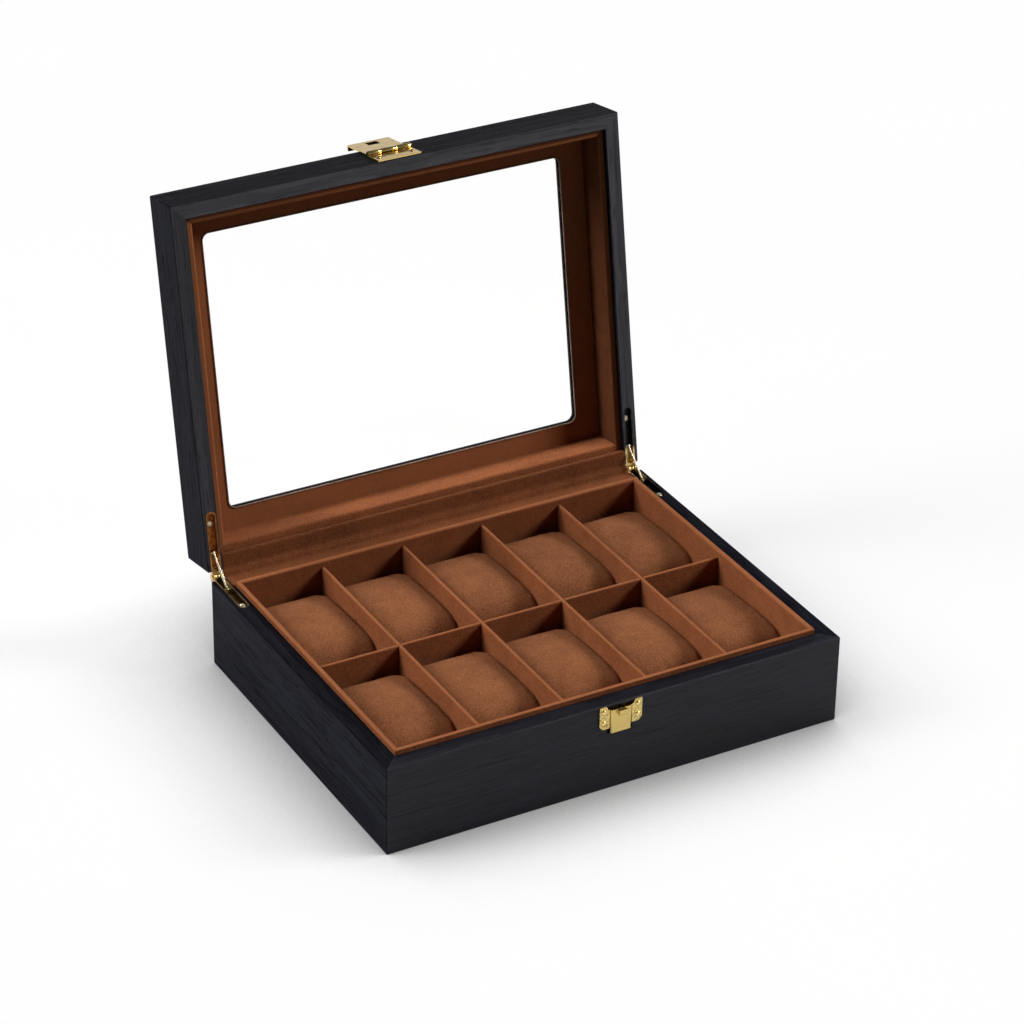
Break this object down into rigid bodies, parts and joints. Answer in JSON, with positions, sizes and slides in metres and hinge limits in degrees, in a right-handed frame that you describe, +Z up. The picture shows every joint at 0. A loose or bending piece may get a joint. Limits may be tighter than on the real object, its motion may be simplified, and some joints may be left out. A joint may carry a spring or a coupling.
{
  "type": "watch display box",
  "caption": "Lidded wooden display box with a glazed lid, stay hinges, a hasp latch and two rows of lined compartments, each with a soft watch pillow.",
  "frame": {"origin": "centre of the underside, on the surface that the box stands on", "axes": "+X along the box to the right, +Y towards the hinged side, -Y the side with the latch, +Z up"},
  "size_m": [0.272, 0.2892, 0.2611],
  "materials": {
    "black_wood": "black stained oak veneer, satin",
    "panel_wood": "black painted board, matte",
    "liner_suede": "brown suede cloth on card",
    "pillow_suede": "brown suede cloth, padded",
    "felt": "black felt",
    "brass": "polished brass plate",
    "steel": "plain",
    "glass": "clear float glass"
  },
  "bodies": {
    "base": {"base_back_wall": "black_wood", "base_bottom_panel": "panel_wood", "base_front_wall": "black_wood", "base_hinge_screws": "brass", "base_leaf_left": "brass", "base_leaf_right": "brass", "base_left_wall": "black_wood", "base_liner_back": "liner_suede", "base_liner_front": "liner_suede", "base_liner_left": "liner_suede", "base_liner_right": "liner_suede", "base_right_wall": "black_wood", "cross_divider_1": "liner_suede", "cross_divider_2": "liner_suede", "cross_divider_3": "liner_suede", "cross_divider_4": "liner_suede", "floor_liner": "liner_suede", "hinge_cloth_base": "liner_suede", "hinge_pin_left": "brass", "hinge_pin_right": "brass", "latch_nails": "brass", "latch_pin": "steel", "latch_plate": "brass", "latch_spring": "steel", "long_divider": "liner_suede", "stay_rivets": "steel", "underside_felt": "felt"},
    "lid": {"hasp_nails": "brass", "hasp_pin": "steel", "hasp_plate": "brass", "hinge_cloth_lid": "liner_suede", "lid_back_rail": "black_wood", "lid_front_rail": "black_wood", "lid_glass": "glass", "lid_hinge_screws": "brass", "lid_leaf_left": "brass", "lid_leaf_right": "brass", "lid_left_rail": "black_wood", "lid_liner_back": "liner_suede", "lid_liner_front": "liner_suede", "lid_liner_left": "liner_suede", "lid_liner_right": "liner_suede", "lid_right_rail": "black_wood", "lid_top_frame": "black_wood", "window_panel": "liner_suede"},
    "stay_left": {"stay_left": "brass"},
    "stay_right": {"stay_right": "brass"},
    "hasp": {"hasp": "brass"},
    "latch_lever": {"latch_lever": "brass"},
    "pillow_1": {"pillow_1": "pillow_suede"},
    "pillow_2": {"pillow_2": "pillow_suede"},
    "pillow_3": {"pillow_3": "pillow_suede"},
    "pillow_4": {"pillow_4": "pillow_suede"},
    "pillow_5": {"pillow_5": "pillow_suede"},
    "pillow_6": {"pillow_6": "pillow_suede"},
    "pillow_7": {"pillow_7": "pillow_suede"},
    "pillow_8": {"pillow_8": "pillow_suede"},
    "pillow_9": {"pillow_9": "pillow_suede"},
    "pillow_10": {"pillow_10": "pillow_suede"}
  },
  "joints": [
    {"name": "lid_hinge", "type": "hinge", "parent": "base", "child": "lid", "pos_m": [0, 0.107, 0.05215], "axis": [-1, 0, 0], "range_deg": [-99.5, 0]},
    {"name": "stay_left_pivot", "type": "hinge", "parent": "base", "child": "stay_left", "pos_m": [-0.131, 0.094, 0.0506], "axis": [-1, 0, 0], "range_deg": [-131.56, 0]},
    {"name": "stay_right_pivot", "type": "hinge", "parent": "base", "child": "stay_right", "pos_m": [0.131, 0.094, 0.0506], "axis": [-1, 0, 0], "range_deg": [-131.56, 0]},
    {"name": "hasp_hinge", "type": "hinge", "parent": "lid", "child": "hasp", "pos_m": [0, 0.15576, 0.2596], "axis": [-1, 0, 0], "range_deg": [-180, 0]},
    {"name": "lever_pivot", "type": "hinge", "parent": "base", "child": "latch_lever", "pos_m": [0, -0.1035, 0.0455], "axis": [1, 0, 0], "range_deg": [0, 8], "stiffness_Nm_per_rad": 0.12, "springref_deg": -5.73, "deforming": ["latch_spring"]},
    {"name": "pillow_1_lift", "type": "slide", "parent": "base", "child": "pillow_1", "axis": [0, 0, 1], "range_m": [0, 0.06]},
    {"name": "pillow_2_lift", "type": "slide", "parent": "base", "child": "pillow_2", "axis": [0, 0, 1], "range_m": [0, 0.06]},
    {"name": "pillow_3_lift", "type": "slide", "parent": "base", "child": "pillow_3", "axis": [0, 0, 1], "range_m": [0, 0.06]},
    {"name": "pillow_4_lift", "type": "slide", "parent": "base", "child": "pillow_4", "axis": [0, 0, 1], "range_m": [0, 0.06]},
    {"name": "pillow_5_lift", "type": "slide", "parent": "base", "child": "pillow_5", "axis": [0, 0, 1], "range_m": [0, 0.06]},
    {"name": "pillow_6_lift", "type": "slide", "parent": "base", "child": "pillow_6", "axis": [0, 0, 1], "range_m": [0, 0.06]},
    {"name": "pillow_7_lift", "type": "slide", "parent": "base", "child": "pillow_7", "axis": [0, 0, 1], "range_m": [0, 0.06]},
    {"name": "pillow_8_lift", "type": "slide", "parent": "base", "child": "pillow_8", "axis": [0, 0, 1], "range_m": [0, 0.06]},
    {"name": "pillow_9_lift", "type": "slide", "parent": "base", "child": "pillow_9", "axis": [0, 0, 1], "range_m": [0, 0.06]},
    {"name": "pillow_10_lift", "type": "slide", "parent": "base", "child": "pillow_10", "axis": [0, 0, 1], "range_m": [0, 0.06]}
  ],
  "couplings": [
    {"joint": "stay_left_pivot", "follows": "lid_hinge", "ratio": 1.3162},
    {"joint": "stay_right_pivot", "follows": "lid_hinge", "ratio": 1.3162}
  ]
}
